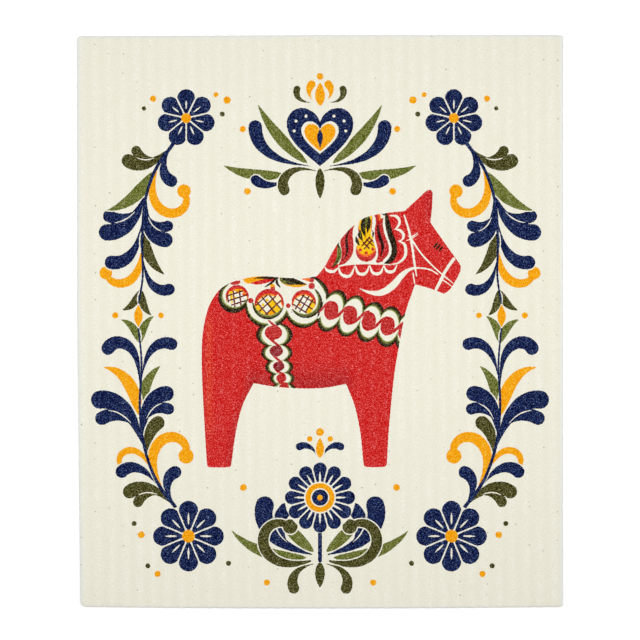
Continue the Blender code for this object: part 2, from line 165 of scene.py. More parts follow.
def lobed(p, h, side, length, turn, width, ink, power=1.6):
    # a comma with a second, shorter one that leaves it on the inner side of its bend
    path = sweep(p, h, length, side * turn, power, 28)
    w = width * (0.05 + 0.95 * np.sin(np.pi / 2 * np.linspace(0, 1, 28) ** 1.15))
    q, hq = path[10], pointAt(path, 10 / 27)[1]
    inner = sweep(q, hq + side * 22, length * 0.5, side * turn * 0.9, 1.2, 18)
    wi = width * 0.74 * (0.45 + 0.55 * np.sin(np.pi / 2 * np.linspace(0, 1, 18)))
    for gap, shade in ((2 * frameArt["gap"], "cloth"), (0, ink)):
        put(brush(path, w + gap), shade, True)
        put(brush(inner, wi + gap), shade, True)
    root = beside(q, hq, side, width * 0.16)
    vein = sweep(root, hq + side * 9, length * 0.4, side * turn * 0.62, 1.2, 14)
    put(brush(vein, 0.42 * np.sin(np.pi * np.linspace(0.12, 0.88, 14))), "cloth", True)


def blade(p, h, side, length, turn, width, ink, power=1.2):
    # pointed at both ends: the width follows a sine whose belly is nearer the root
    path = sweep(p, h, length, side * turn, power, 26)
    paint(path, width * np.sin(np.pi * np.linspace(0, 1, 26) ** 0.8) ** 0.85 + 0.02, ink, True, False)


def curl(p, h, side, length, turn, width, ink, power=1.5, ball=1.4):
    # a scroll that winds up, its width a sine of the way gone, and ends in a ball that many widths across
    path = sweep(p, h, length, side * turn, power, 44)
    w = width * (0.07 + 0.93 * np.sin(np.pi * (0.03 + 0.8 * np.linspace(0, 1, 44))) ** 0.9)
    end = path[-1] + 0.25 * ball * width * (path[-1] - path[-2]) / np.linalg.norm(path[-1] - path[-2])
    put(brush(path, w + 2 * frameArt["gap"]), "cloth", True)
    put(disc(end, ball * width / 2 + frameArt["gap"]), "cloth", True)
    put(brush(path, w), ink, True)
    put(disc(end, ball * width / 2, 26), ink, True)


def teardrop(foot, heading, near, far, width, ink):
    # a straight petal from near to far out of its foot: its width is a sine whose belly is nearer the foot
    u = np.array([math.cos(math.radians(heading)), math.sin(math.radians(heading))])
    s = np.linspace(0, 1, 28)
    path = np.array(foot, float) + u * (near + (far - near) * s[:, None])
    paint(path, width * np.sin(np.pi * s**0.85) ** 0.8 + 0.03, ink, False, False)


def almond(x, low, high, width, ink, both=False, belly=1.0):
    # an upright shape whose width follows a sine from low to high
    t = np.linspace(0, 1, 18)
    path = np.stack([np.full(18, float(x)), low + (high - low) * t], 1)
    put(brush(path, width * np.sin(np.pi * t**belly) + 0.02, False), ink, both)


def rosette(centre, radius, petals, both=True):
    # round petals set in a ring; each is as wide as its share of the ring, less a bare gap
    c = np.array(centre, float)
    put(disc(c, radius * 0.98), "cloth", both)
    for i in range(petals):
        a = math.radians(90 + i * 360 / petals)
        u = np.array([math.cos(a), math.sin(a)])
        s = np.linspace(0, 1, 20)
        path = c + u * radius * (0.2 + 0.6 * s[:, None])
        w = radius * 1.65 * math.sin(math.pi / petals) * (0.14 + 0.86 * np.sin(np.pi / 2 * s**0.9))
        room = 2 * radius * (0.2 + 0.6 * s) * math.tan(math.pi / petals) - 0.55
        put(brush(path, np.clip(np.minimum(w, room), 0.12, None)), "navy", both)
        vein = c + u * radius * np.linspace(0.36, 0.74, 10)[:, None]
        put(brush(vein, 0.06 * radius * np.sin(np.pi * np.linspace(0.1, 0.97, 10))), "cloth", both)
    put(disc(c, radius * 0.2, 24), "ochre", both)


# the printed frame: sprays from four corner flowers, a heart above and a round flower below
# A leaf's row: its place along the stem, its side, its kind, ink, length, turn, width and power.
frameArt = {
    "gap": 0.4,  # bare cloth between two inks
    "stemWidth": 1.3,
    "lowerStem": [(50.5, -65), (57, -56), (61.4, -44), (63, -30), (62.4, -15), (63.4, -2.5)],
    "lowerLeaves": [
        (0.92, 1, blade, "green", 11, 62, 2.8, 1.4),
        (0.92, -1, blade, "green", 11, 62, 2.8, 1.4),
        (0.70, -1, comma, "navy", 23, 150, 4.8, 2.6),
        (0.74, 1, comma, "navy", 18, 105, 4.2, 2.2),
        (0.58, 1, blade, "green", 18, 48, 3.8, 1.5),
        (0.56, -1, blade, "ochre", 23, 78, 4.4, 1.9),
        (0.41, -1, lobed, "navy", 24, 78, 6.4, 2.2),
        (0.44, 1, lobed, "navy", 20, 88, 5.4, 2.0),
        (0.30, -1, curl, "ochre", 17, 190, 2.4, 1.7),
        (0.30, 1, comma, "olive", 16, 66, 4.8, 1.9),
        (0.17, -1, comma, "navy", 16, 100, 4.4, 2.2),
        (0.16, 1, curl, "ochre", 30, 215, 3.8, 1.9),
        (0.03, -1, lobed, "olive", 17, 82, 4.8, 1.8),
        (0.02, 1, comma, "navy", 13, 100, 4.4, 2.0),
    ],
    "upperStem": [(51.2, 62.5), (57.4, 53.5), (61.2, 42), (62.2, 28), (62, 16), (63.4, 6.5)],
    "upperLeaves": [
        (0.90, 1, blade, "olive", 10, 60, 2.8, 1.4),
        (0.90, -1, blade, "olive", 10, 60, 2.8, 1.4),
        (0.66, 1, curl, "ochre", 20, 150, 3.2, 1.8),
        (0.70, -1, comma, "navy", 16, 105, 4.0, 2.2),
        (0.50, 1, comma, "navy", 20, 92, 4.8, 2.3),
        (0.54, -1, blade, "olive", 18, 52, 3.8, 1.5),
        (0.35, 1, lobed, "navy", 21, 72, 5.8, 2.0),
        (0.38, -1, lobed, "navy", 18, 92, 5.2, 2.0),
        (0.22, 1, blade, "green", 22, 48, 4.4, 1.5),
        (0.20, -1, curl, "ochre", 29, 225, 3.4, 1.8),
        (0.05, 1, lobed, "olive", 16, 82, 4.8, 1.8),
        (0.04, -1, comma, "navy", 13, 98, 4.2, 2.0),
    ],
    "leafAngle": 7,  # degrees between a stem and the start of its leaf
    "flowers": [((46, -75), 11.2, 8), ((46.8, 71.2), 8.8, 7)],  # middle, radius and petals
    "dots": [  # middle, radius and ink
        (32.5, 77.5, 1.3, "ochre"), (36.4, 79.4, 0.9, "ochre"), (58.4, 78.0, 1.1, "ochre"),
        (61.6, 74.6, 0.8, "olive"), (34.2, 72.6, 0.9, "olive"), (62.5, -74.5, 1.2, "ochre"),
        (65.0, -70.6, 0.9, "olive"), (71.6, 2.2, 1.1, "ochre"), (55.6, 2.2, 1.0, "ochre"),
        (60.2, -85.4, 0.9, "olive"), (32.0, -84.5, 0.9, "olive"), (56.8, -88.2, 1.1, "ochre"),
    ],
}


def dots(rows):
    # discs, with a twin on the other half for each that is off the middle line
    for x, y, r, ink in rows:
        put(disc((x, y), r, 18), ink, x > 0)


def spray(stem, rows):
    # a stem that thins evenly to 0.45 of its width, over leaves that spring from just beside it
    path = splineThrough(stem, 12)
    for share, side, kind, ink, length, turn, width, power in rows:
        p, h = pointAt(path, share)
        p = beside(p, h, side, 0.25)
        kind(p, h + side * frameArt["leafAngle"], side, length, turn, width, ink, power)
    put(brush(path, frameArt["stemWidth"] * (1 - 0.55 * np.linspace(0, 1, len(path)))), "navy", True)


spray(frameArt["lowerStem"], frameArt["lowerLeaves"])
spray(frameArt["upperStem"], frameArt["upperLeaves"])
almond(63.5, -2, 6, 3, "ochre", True)
for row in frameArt["flowers"]:
    rosette(*row)
dots(frameArt["dots"])

# the round flower below the horse, on a short stem with arching leaves
lowFlower = {
    "centre": (0, -61.5),
    "radius": 12.4,
    "petals": 12,
    # its heart's discs, as shares of the radius
    "heart": ((0.45, "cloth"), (0.41, "ochre"), (0.265, "cloth"), (0.23, "navy"), (0.08, "ochre")),
    "stemWidth": 1.4,
    "foot": -81.5,  # where the leaves spring from
    "leaves": [  # kind, place from the foot, then as the kind takes them
        (blade, (2.2, 1), 40, -1, 19, -14, 4.0, "green", 1.3),
        (lobed, (2.6, 0), 16, 1, 27, 92, 6.4, "navy", 2.0),
        (blade, (4.6, -1), 0, 1, 29, 50, 4.0, "green", 1.5),
        (curl, (3.4, -2.2), -14, 1, 33, 225, 3.8, "olive", 1.7, 1.35),
        (comma, (2.0, -3.2), -12, -1, 13, 105, 3.8, "olive", 1.7),
        (teardrop, (0, -1), -90, 1.5, 10.5, 3.4, "olive"),
    ],
    "dots": [
        (0, -38.6, 1.4, "ochre"), (3.6, -41, 1.0, "ochre"), (26.8, -58.0, 1.2, "ochre"),
        (18.6, -91.2, 1.1, "ochre"),
    ],
}
c, r, foot = lowFlower["centre"], lowFlower["radius"], lowFlower["foot"]
for kind, (x, y), *rest in lowFlower["leaves"]:
    kind((x, foot + y), *rest)
put(brush([(0, y) for y in np.linspace(foot - 2, -70, 12)], lowFlower["stemWidth"]), "navy")
put(disc(c, r, 60), "cloth")
rosette(c, r, lowFlower["petals"], False)
for share, ink in lowFlower["heart"]:
    put(disc(c, share * r, 40), ink)
comma((0.8, -47.4), 66, -1, 8.4, 95, 2.6, "navy")  # the small bud above it
teardrop((0, -48), 90, 0.4, 7.4, 2.8, "ochre")
dots(lowFlower["dots"])

# the heart above the horse
heartArt = {
    "middle": (0, 65.0),
    "half": [  # its right half, from the point up to the notch
        (0, 54.4), (3.6, 57.4), (8.4, 62), (11.2, 66.6), (11.4, 71), (8.8, 74.2), (5, 74.6), (1.6, 72.6),
        (0, 69.9),
    ],
    "edge": 0.9,  # bare cloth round it
    "innerMiddle": (0, 64.6),
    "inner": ((0.56, "cloth"), (0.47, "ochre")),  # smaller hearts as shares of it
    "pips": ((4.9, 71.9), (8.4, 70.2), (9.0, 66.7)),
    "leaves": [
        (blade, (4.4, 55.4), 38, 1, 27, 26, 4.0, "green"),
        (blade, (12.3, 51.5), -6, 1, 22, 33, 3.8, "green", 1.3),
        (comma, (3.4, 54.4), 8, 1, 26, 84, 4.8, "navy", 2.0),
        (comma, (11.6, 49.4), -22, 1, 11.5, 64, 3.6, "navy", 1.8),
        (comma, (0.9, 52.6), 14, -1, 17, 132, 3.8, "olive", 1.9),
        (teardrop, (0, 54), -90, 0.2, 11, 3.2, "olive"),
    ],
    "bud": [
        (teardrop, (0, 75.2), 90, 0.3, 8.4, 3.4, "ochre"),
        (comma, (2.7, 77.5), 54, 1, 6, 78, 2.8, "ochre", 1.3),
        (comma, (3.2, 76.7), 2, 1, 8, 112, 2.4, "olive"),
    ],
    "dots": [(0, 85.8, 1.2, "ochre"), (25.4, 45.6, 1.2, "ochre"), (27, 67.4, 1.1, "ochre")],
}
for kind, *rest in heartArt["leaves"]:
    kind(*rest)
half = splineThrough(heartArt["half"], 8)
heart = np.vstack([half, (half[1:-1] * [-1, 1])[::-1]])
middle = np.array(heartArt["middle"])
put(heart + heartArt["edge"] * (heart - middle) / np.linalg.norm(heart - middle, axis=1)[:, None], "cloth")
put(heart, "navy")
for share, ink in heartArt["inner"]:
    put(heartArt["innerMiddle"] + (heart - middle) * share, ink)
almond(0, 60.6, 67.4, 2.0, "navy", False, 1.3)
for pip in heartArt["pips"]:
    put(disc(pip, 0.55, 14), "cloth", True)
for kind, *rest in heartArt["bud"]:
    kind(*rest)
dots(heartArt["dots"])
print("frame of leaves drawn:", len(shapes), "shapes")

# the horse: a carved and painted one of the traditional kind, seen from its right side
horseArt = {
    "outline": [  # runs that meet at its corners
        [(39.4, 45.2), (39.2, 40), (38.6, 34.8)],
        [(38.6, 34.8), (43.95, 27.1), (49.1, 19.9)],
        [(49.1, 19.9), (49.2, 18.2), (48.4, 16.2), (46.85, 13.3), (45.35, 11.1), (43.3, 9.75)],
        [(43.3, 9.75), (38.5, 11.6), (33.2, 13.1)],
        [
            (33.2, 13.1), (32.3, 10.4), (29.9, 3.2), (27.9, -7), (26.2, -17), (24.95, -28),
            (23.95, -39.5), (23.4, -49.6),
        ],
        [
            (23.4, -49.6), (23, -50.5), (22.1, -50.8), (19.2, -50.9), (16.4, -50.8), (15.5, -50.5),
            (15.2, -49.6),
        ],
        [(15.2, -49.6), (14.05, -38.5), (12, -29), (9.1, -21.8)],
        [(9.1, -21.8), (1, -23.2), (-8, -23.3), (-16, -22.7), (-23.2, -21.5)],
        [(-23.2, -21.5), (-27, -29), (-29.3, -38), (-31, -49.6)],
        [
            (-31, -49.6), (-31.3, -50.6), (-32.2, -50.9), (-35.4, -51), (-38.5, -50.9),
            (-39.25, -50.6), (-39.55, -49.6),
        ],
        [
            (-39.55, -49.6), (-40.4, -36), (-41.3, -18), (-41.2, -6), (-39.7, 2.8), (-37.3, 8.4),
            (-33.8, 12.2), (-28.5, 14.6), (-21, 15.9), (-13, 15.4), (-6, 15.2), (-1.1, 15.9),
        ],
        [(-1.1, 15.9), (1.8, 19.6), (5.8, 26.8), (10.4, 32.4), (15.4, 36.2), (21.6, 37.8), (29.6, 38.7)],
        [(29.6, 38.7), (33.6, 42.4), (37, 45.6), (38.6, 46.1), (39.4, 45.2)],
    ],
    # each link: its ovals' middle, their outer and inner half sizes, its disc's middle, radius and ink
    "girth": [
        ((-15.95, -4.6), (6.45, 4.4), (4.42, 3.7), (-16.3, -3.85), 3.05, "rose"),
        ((-15.1, -10.9), (5.5, 3.5), (3.95, 2.8), (-15.3, -10.25), 2.38, "wine"),
        ((-14.3, -15.8), (4.95, 3.0), (3.4, 2.3), (-14.45, -15.6), 2.03, "wine"),
        ((-13.2, -19.8), (4.3, 2.6), (2.9, 1.85), (-13.55, -19.7), 1.8, "rose"),
        ((-12.7, -24.0), (4.4, 2.9), (2.6, 2.5), (-12.6, -23.0), 1.8, "rose"),
    ],
    # each link: its disc's middle, then its outer and inner oval (x, y, half width, half height, tilt)
    "garland": [
        ((3.95, 3.9), (4.25, 3.8, 4.45, 7.85, -25), (4.15, 3.8, 3.45, 5.95, -20)),
        ((10.55, 2.2), (10.9, 2, 4.4, 7.7, -23), (10.9, 2.1, 3.45, 6.15, -20)),
        ((17.05, 0.1), (17.7, -0.1, 4.4, 7.4, -21), (17.55, -0.1, 3.45, 5.5, -11.5)),
        ((23.65, -1.55), (24.1, -1.75, 4.45, 7.3, -12), (24, -1.45, 3.45, 5.4, -6)),
        ((29.85, -3.35), (30.6, -3.6, 4.4, 7.1, -12), (30.6, -3.25, 3.4, 5.3, -6)),
    ],
    # each rose: its middle and radius, its lattice's crossing, tilts and steps, coloured cells and spots
    "roses": [
        ((-28.95, 8.8), 4.05, (-30.05, 7.95), (17.5, -84), (2.2, 1.8), {}, [
            (-30.95, 8.6, 0.5, 0.9, "yellow"), (-31.2, 10.2, 0.8, 0.5, "yellow"),
            (-30.75, 6.9, 0.35, 0.55, "yellow"), (-29.4, 8.4, 0.55, 0.45, "yellow"),
            (-28.4, 10.9, 1.6, 0.6, "ochre"), (-26.6, 9.6, 0.6, 0.7, "orange"),
        ]),
        ((-17.75, 6.35), 5.15, (-18.36, 6.26), (42.5, -50.5), (2.45, 2.33), {
            "yellow": [(0.5, 0.5), (0.5, 1.5), (-1.5, 0.5), (-1.5, -0.5)], "ochre": [(-0.5, 1.5)],
            "pale": [(1.5, 0.5)],
        }, [(-18.45, 7.6, 0.6, 0.55, "yellow"), (-19.95, 5.9, 0.55, 0.55, "yellow")]),
        ((-5.65, 6.9), 4.25, (-5.48, 6.18), (59, -32), (2.18, 1.79), {"yellow": [(0.5, 1.5), (-0.5, 1.5)]}, [
            (-2.7, 7.7, 0.6, 0.5, "ochre"), (-7.05, 5.85, 0.5, 0.5, "ochre"),
        ]),
    ],
}
horseOutline = np.vstack([splineThrough(run, 5)[:-1] for run in horseArt["outline"]])
put(horseOutline, "red")


def on(outline, ink):
    # a shape that is cut off at the horse's outline
    put(outline, ink, False, horseOutline)


def line(points, widths, ink, perSpan=8):
    # a stroke through the points whose width goes evenly through the ones given
    path = splineThrough(points, perSpan) if len(points) > 2 else np.linspace(points[0], points[1], 8)
    share = np.linspace(0, 1, len(path))
    on(brush(path, np.interp(share, np.linspace(0, 1, len(widths)), widths)), ink)


def oval(centre, rx, ry, ink, tilt=0):
    on(ellipse(centre, rx, ry, tilt), ink)


def patch(points, ink):
    # a filled outline, curved smoothly through its points
    on(splineThrough(points, 8, True), ink)


def banded(pairs):
    # ovals (x, y, half width, half height, tilt) from outer to inner, each ink at a share of the way
    for share, ink in ((0, "dark"), (0.46, "olive"), (0.68, "green"), (0.86, "sage"), (1, "white")):
        for outer, inner in pairs:
            x, y, rx, ry, tilt = np.array(outer) * (1 - share) + np.array(inner) * share
            oval((x, y), rx, ry, ink, tilt)


# girth: ovals edged in dark green, joined by short strokes
banded([((*middle, *outer, 0), (*middle, *inner, 0)) for middle, outer, inner, *_ in horseArt["girth"]])
for (*_, a, ra, _), (*_, b, rb, _) in zip(horseArt["girth"], horseArt["girth"][1:]):
    # an S stroke leaves one disc at its lower left and meets the next at its upper right
    a, b = np.array(a), np.array(b)
    bends = [a + np.array([-0.66, -0.5]) * ra, a + np.array([-0.18, -0.86]) * ra]
    bends += [b + np.array([0.4, 0.72]) * rb, b + np.array([0.8, 0.3]) * rb]
    line([*bends[:2], (bends[1] + bends[2]) / 2, *bends[2:]], [0.5, 0.95, 0.85, 0.95, 0.5], "rose")

# saddle: a bare cloth with a dark green scalloped edge, and three roses
shoulder = [(-4.5, 15.9), (-1.6, 15.6), (1.6, 13.4), (3.1, 10.2), (2.4, 7.6), (0.4, 4), (-4, 6), (-7, 12)]
for less, ink in ((0, "dark"), (0.75, "olive"), (1.05, "green"), (1.3, "sage")):
    patch([(x - less, y - less * 0.6) for x, y in shoulder], ink)
banded([
    ((-30.2, 8.45, 5.4, 5.45, 0), (-29.8, 9.25, 4.15, 4.1, 0)),
    ((-18.4, 5.85, 7.9, 8.15, 0), (-18.4, 6.5, 7.05, 7.0, 0)),
    ((-5.9, 5.15, 6.6, 7.4, 0), (-5.5, 5.6, 6.05, 6.25, 0)),
])
saddleField = [
    (-31.6, 13.3), (-27, 14.7), (-20, 15.6), (-10, 15.2), (-3.8, 15.35), (-0.95, 14.05), (1.2, 11.1),
    (1.6, 8.4), (0.4, 5.8), (-2, 5), (-5.5, 8.5), (-10, 5), (-11.3, 3.6), (-13.5, 8.2), (-17.8, 9),
    (-22.5, 8.5), (-24.6, 4.4), (-26.2, 8.2), (-29, 9), (-32.5, 11.2),
]
patch(saddleField, "white")


def crescent(centre, radius, start, turn, width):
    # widest at its middle, inside an arc: its inner side is radius - width * root of sin(pi * share)
    share = np.linspace(0, 1, 40)
    angle = np.radians(start + turn * share)
    for less, ink in ((0, "dark"), (0.35, "olive"), (0.55, "green"), (0.85, "sage")):
        sides = [radius - width * k * np.sin(np.pi * share) ** 0.5 for k in (less, 1)]
        outer, inner = (np.stack([side * np.cos(angle), side * np.sin(angle)], 1) for side in sides)
        on(np.vstack([outer, inner[::-1]]) + centre, ink)


def saddleRose(centre, radius, crossing, tilts, steps, cells, spots):
    # a disc that runs from red above through orange and yellow to bare cloth, under a lattice of fine lines
    c, crossing = np.array(centre, float), np.array(crossing, float)
    ring = disc(c, radius)
    for ink, share, down in (
        ("rose", 1.0, 0), ("red", 0.96, 0.07), ("orange", 0.92, 0.24), ("ochre", 0.9, 0.29),
        ("pale", 0.88, 0.33), ("white", 0.86, 0.37),
    ):
        put(disc(c - [0, down * radius], share * radius), ink, False, ring)
    # the lattice's two steps as vectors; a cell's middle is the crossing + i * u + j * v
    turns = np.radians(tilts)
    u, v = np.array(steps)[:, None] * np.stack([np.cos(turns), np.sin(turns)], 1)
    field = disc(c - [0, 0.12 * radius], radius * 0.93)
    for ink, places in cells.items():
        for i, j in places:
            q = crossing + u * i + v * j
            put([q + (u + v) / 2, q + (v - u) / 2, q - (u + v) / 2, q + (u - v) / 2], ink, False, field)
    for x, y, rx, ry, ink in spots:
        oval((x, y), rx, ry, ink)
    for k in (-1, 0, 1):
        for across, d in ((u, v), (v, u)):
            way = crossing + across * k + d * np.linspace(-3, 3, 120)[:, None]
            inside = np.hypot(*(way - c).T) < 0.93 * radius
            way = way[inside & (np.hypot(*(way - c + [0, 0.42 * radius]).T) < 1.02 * radius)]
            if len(way) > 6:
                line([way[0], way[-1]], [0.5], "maroon")


for row in horseArt["roses"]:
    saddleRose(*row)
crescent((-29.9, 8.75), 4.75, 190, 165, 1.1)
crescent((-18.15, 6.3), 5.5, 172, 176, 1.5)
crescent((-4.85, 6.85), 5.6, 204, 216, 1.7)
oval((-16.8, -0.75), 1.5, 0.85, "white", -12)  # the neck between the middle rose and the girth
neck = [(-19.6, -2.9), (-19, -2.15), (-18.2, -1.65), (-17, -1.5), (-15.9, -1.35)]
line(neck, [0.3, 0.7, 0.8, 0.8, 0.5], "white")
for *_, middle, r, ink in horseArt["girth"]:
    oval(middle, r, r * 0.82, ink)  # painted discs, a little flat
for x, y, r, ink in (
    (-24.2, 7.4, 0.95, "rose"), (-11.1, 5.6, 0.85, "rose"), (-16.6, 12.35, 0.9, "ochre"),
    (-16.5, 11.45, 0.85, "rose"), (-2.9, 12.5, 1.15, "rose"),
):
    oval((x, y), r, r, ink)
oval((-29.6, 13.7), 1.8, 0.85, "rose", 8)
patch([(-2.0, 14.2), (-3.0, 15.2), (-6.4, 15.0), (-4.4, 14.2), (-3.0, 13.8)], "orange")
oval((-2.9, 14.5), 0.9, 0.75, "rose")
stalk = [(-18.15, 0.6), (-17.1, -0.38), (-16.2, -1.15), (-15.3, -1.8), (-14.3, -2.4)]
line(stalk, [0.5, 0.75, 0.9, 1.1, 0.6], "rose")

# garland over the chest: slanted ovals, with discs joined by S strokes
banded([(outer, inner) for _, outer, inner in horseArt["garland"]])
join = [(1.5, 9.8), (1.6, 8), (1.65, 6.6), (1.35, 5.2), (0.75, 3.6), (0.1, 2.2), (-0.8, 1.2)]
line(join, [0.9, 1.1, 1.1, 0.4], "white")  # the saddle's bare edge runs on into the first link
curve = [(0.4, -2.6), (2.2, -1.75), (3.6, -0.5), (4.9, 0.75), (6.4, 1.3)]
for (x, y), *_ in horseArt["garland"]:
    line([(x + dx, y + dy) for dx, dy in curve], [1.2, 1.15, 0.95, 1.0, 1.0], "rose")
line([(-0.35, 3.2), (0.6, 4.3), (1.9, 5.8), (3.45, 6.9)], [0.35, 0.7, 1.0, 1.0], "rose")
for middle, *_ in horseArt["garland"]:
    oval(middle, 2.46, 3.38, "rose", -14)

# two leaves on the back
line([(-28.8, 14.7), (-27.4, 15.05), (-26, 15.35)], [0.7], "white")
leftLeaf = [(-15.4, 15.0), (-18.2, 13.7), (-21.4, 13.0), (-24, 13.3), (-26, 14.3), (-24, 15.4), (-19, 15.7)]
patch(leftLeaf, "red")
patch([
    (-18, 15.4), (-20, 15.9), (-24, 16), (-26.4, 15.3), (-26.6, 14.1), (-25, 13.3), (-23, 14), (-20.6, 14.6),
], "ochre")
line([(-14.4, 15.3), (-17.5, 15.3), (-20.6, 15.4), (-23.4, 15.1)], [0.35, 1.0, 0.8, 0.1], "dark")
patch([
    (-14, 15.2), (-11, 15.3), (-7.4, 14.3), (-4.7, 13.1), (-6.6, 12.2), (-9.4, 12.1), (-11.8, 12.7),
    (-13.6, 13.8),
], "ochre")
rightLeaf = [(-14, 15.3), (-11, 15.3), (-7.4, 14.4), (-5.2, 13.1), (-7.6, 12.9), (-11.2, 12.9), (-13.6, 13.9)]
patch(rightLeaf, "green")
line([(-13.2, 15.0), (-10, 14.5), (-7, 13.6), (-4.6, 13)], [0.6, 1.9, 1.3, 0.2], "dark")
line([(-12.2, 13.9), (-10.6, 13.3), (-9.2, 13.2)], [0.2, 0.8, 0.2], "dark")
line([(-15.2, 15.3), (-17, 13.6), (-19.3, 12.1)], [0.5, 0.85, 0.3], "dark")
line([(-14.9, 15.2), (-15.1, 13.6), (-13.9, 12.0)], [0.5, 0.95, 0.4], "dark")

# mane: a bare field with S stripes and a plume, scalloped below and at the right
maneField = [
    (6.4, 20), (7, 24), (6.6, 27.9), (9, 31), (12.6, 34.6), (16.6, 37.2), (20, 38.1), (23.2, 38.3), (23, 34),
    (25, 28), (25.4, 24), (22.6, 20.2), (14, 20.2),
]
patch(maneField, "white")
line([(6.2, 27.4), (6.75, 24.6), (6.3, 21.7), (4.4, 19.1)], [0.5, 1.6, 1.5, 0.3], "green")
line([(6.2, 27.6), (6.5, 25.8)], [0.8, 0.4], "dark")
line([(6.3, 22.4), (5.7, 20.6), (4.4, 19)], [0.3, 1, 0.4], "olive")
line([(5.1, 19.9), (4.4, 19)], [0.6, 0.4], "dark")
patch([
    (12.5, 35.1), (9.7, 32.6), (7.3, 29), (7.15, 26.8), (7.6, 24.6), (7.3, 21.7), (6.5, 19.7), (8.9, 20.5),
    (11.15, 23.1), (11.75, 26.4), (11.4, 30.5), (11.8, 33.1),
], "rose")
fold = [(11.2, 33.6), (9.9, 31.3), (9.25, 29.1), (9.4, 26.6), (9.55, 24.6), (8.95, 22.9), (7.6, 21.5)]
line(fold, [0.1, 0.45, 0.75, 0.95, 0.75, 0.4, 0.1], "maroon")
line(fold, [0.05, 0.3, 0.6, 0.8, 0.6, 0.25, 0.05], "umber")
plume = [
    (14.6, 36.3), (16.4, 37.2), (18.2, 36.9), (18.2, 33.6), (17.9, 30.6), (18.6, 27.6), (20, 25),
    (18.9, 22.2), (16.3, 20.9), (13.6, 22), (12.5, 24.6), (13.4, 27.2), (13.4, 30.6), (13.5, 33.6),
]
plumeMiddle = np.array([16.2, 29.5])
for share, up, ink in ((1.0, 0, "rose"), (0.96, 0.9, "red"), (0.93, 1.35, "orange"), (0.9, 1.8, "yellow")):
    patch((np.array(plume) - plumeMiddle) * share + plumeMiddle + [0, up * 0.9], ink)
line([(15.8, 36.8), (15.1, 34), (15.2, 31.8), (16, 29.4)], [1.3, 1.9, 1.5, 0.1], "dark")
line([(16.95, 36.7), (17, 35), (16.85, 33), (16.5, 30.9)], [0.9, 1.7, 1.45, 0.1], "dark")
line([(16.4, 36.6), (16.2, 34.4), (16.0, 33)], [0.9, 0.7, 0.1], "green")
line([(15.3, 33.2), (15.5, 31.6)], [0.5, 0.2], "green")
line([(14.0, 32.2), (14.0, 30.2), (15, 28)], [0.3, 1.7, 0.1], "dark")
line([(14.0, 30.8), (14.3, 29.6)], [0.5, 0.2], "green")
line([(12.6, 29.9), (13, 28.2), (13.9, 26.5)], [0.3, 1.3, 0.1], "dark")
for ends in (
    [(14.6, 26.4), (17.4, 29.6)], [(15.4, 25.4), (18.2, 28.6)], [(15, 27.8), (17.2, 25.6)],
    [(16.2, 28.8), (18.6, 26.6)], [(17.2, 29.4), (19, 27.6)],
):
    line(ends, [0.5], "maroon")
for x, y in ((14.1, 25.1), (16.2, 24), (18.4, 25.4)):
    oval((x, y), 0.6, 0.6, "red")
gap = [(19.1, 33.2), (18.9, 30.2), (19.2, 28), (19.85, 26), (20.05, 24), (19.7, 21.2)]
line(gap, [0.3, 0.9, 0.9, 0.9], "white")
stripe = [
    (18.95, 37.3), (20.3, 37.7), (20.9, 36.9), (21.35, 36), (22.2, 36.3), (22, 34.1), (22.3, 32.1),
    (22.9, 30.15), (23.6, 28.2), (24.1, 26.2), (24, 24.2), (23.3, 22.5), (21.8, 21), (19.6, 20.7),
    (20.15, 22.7), (20.25, 24.2), (20.05, 26.2), (19.45, 28.2), (19.15, 30.15), (19.1, 32.1), (19.45, 34.1),
    (19.45, 36),
]
patch(stripe, "rose")
line([(18.4, 32.2), (18.6, 30.7), (18.45, 29)], [0.1, 0.75, 0.1], "dark")
line([(20.6, 37.6), (20.9, 36.2), (21, 34.9)], [0.9, 0.8, 0.1], "orange")
fold = [(20.35, 32.1), (21.15, 29), (21.95, 26.2)]
line([(20.3, 34.6), *fold, (21.2, 22.6)], [0.2, 0.9, 1.25, 1.1, 0.1], "maroon")
line([(20.3, 33.9), *fold, (21.3, 23)], [0.2, 0.7, 1.05, 0.95, 0.3], "umber")
line([
    (22.6, 37.2), (22.35, 34.1), (22.7, 32.1), (23.2, 30.15), (24, 28.2), (24.55, 26.2), (24.5, 24.2),
    (23.9, 22.7), (22.6, 21.2),
], [0.7, 0.85, 0.8, 0.95, 1.2], "white")
edge = [
    (23, 38), (23.4, 36.1), (23.7, 34.1), (24.15, 32.1), (24.75, 30.15), (25.45, 28.2), (25.95, 26.2),
    (26, 24.2), (25.5, 22.7), (24.5, 21.4), (22.5, 20.1),
]
line(edge, [0.7, 1.4, 1.85, 1.95, 2.05, 2.2, 1.9, 2, 2, 1.8, 0.6], "dark")
line([(23.1, 37.5), (22.4, 37.4), (21.4, 37.9)], [0.6, 0.5, 0.1], "dark")
for points, w in (
    ([(24.3, 37.1), (26.6, 36.9), (27.8, 35.2), (27.3, 33.4), (26, 32.2)], 0.95),
    ([(26.2, 32.4), (28, 31.9), (29.2, 30.4), (28.9, 28.9), (27.4, 28)], 1.0),
    ([(27.4, 28.2), (29.4, 27.2), (30, 25), (29.6, 22.6), (27.4, 20.6), (24.8, 20)], 1.05),
):
    line(points, [0.3, w, w, w * 0.7, 0.25], "white", 10)
for points in (
    [(1.6, 19.3), (2.6, 17.9), (4.8, 17.6), (6.6, 19.1)],
    [(6.5, 19.4), (7.4, 16.6), (10.4, 16), (12.3, 19.6)],
    [(12.3, 19.9), (13.4, 17), (15.9, 16.9), (17.3, 19.7)],
    [(17.4, 19.8), (18.5, 17.1), (21, 17), (22.3, 19.7)],
    [(22.3, 19.8), (23.4, 17.7), (25.6, 17.6), (27, 19.9)],
):
    line(points, [0.3, 0.85, 1.15, 0.85, 0.3], "white", 10)
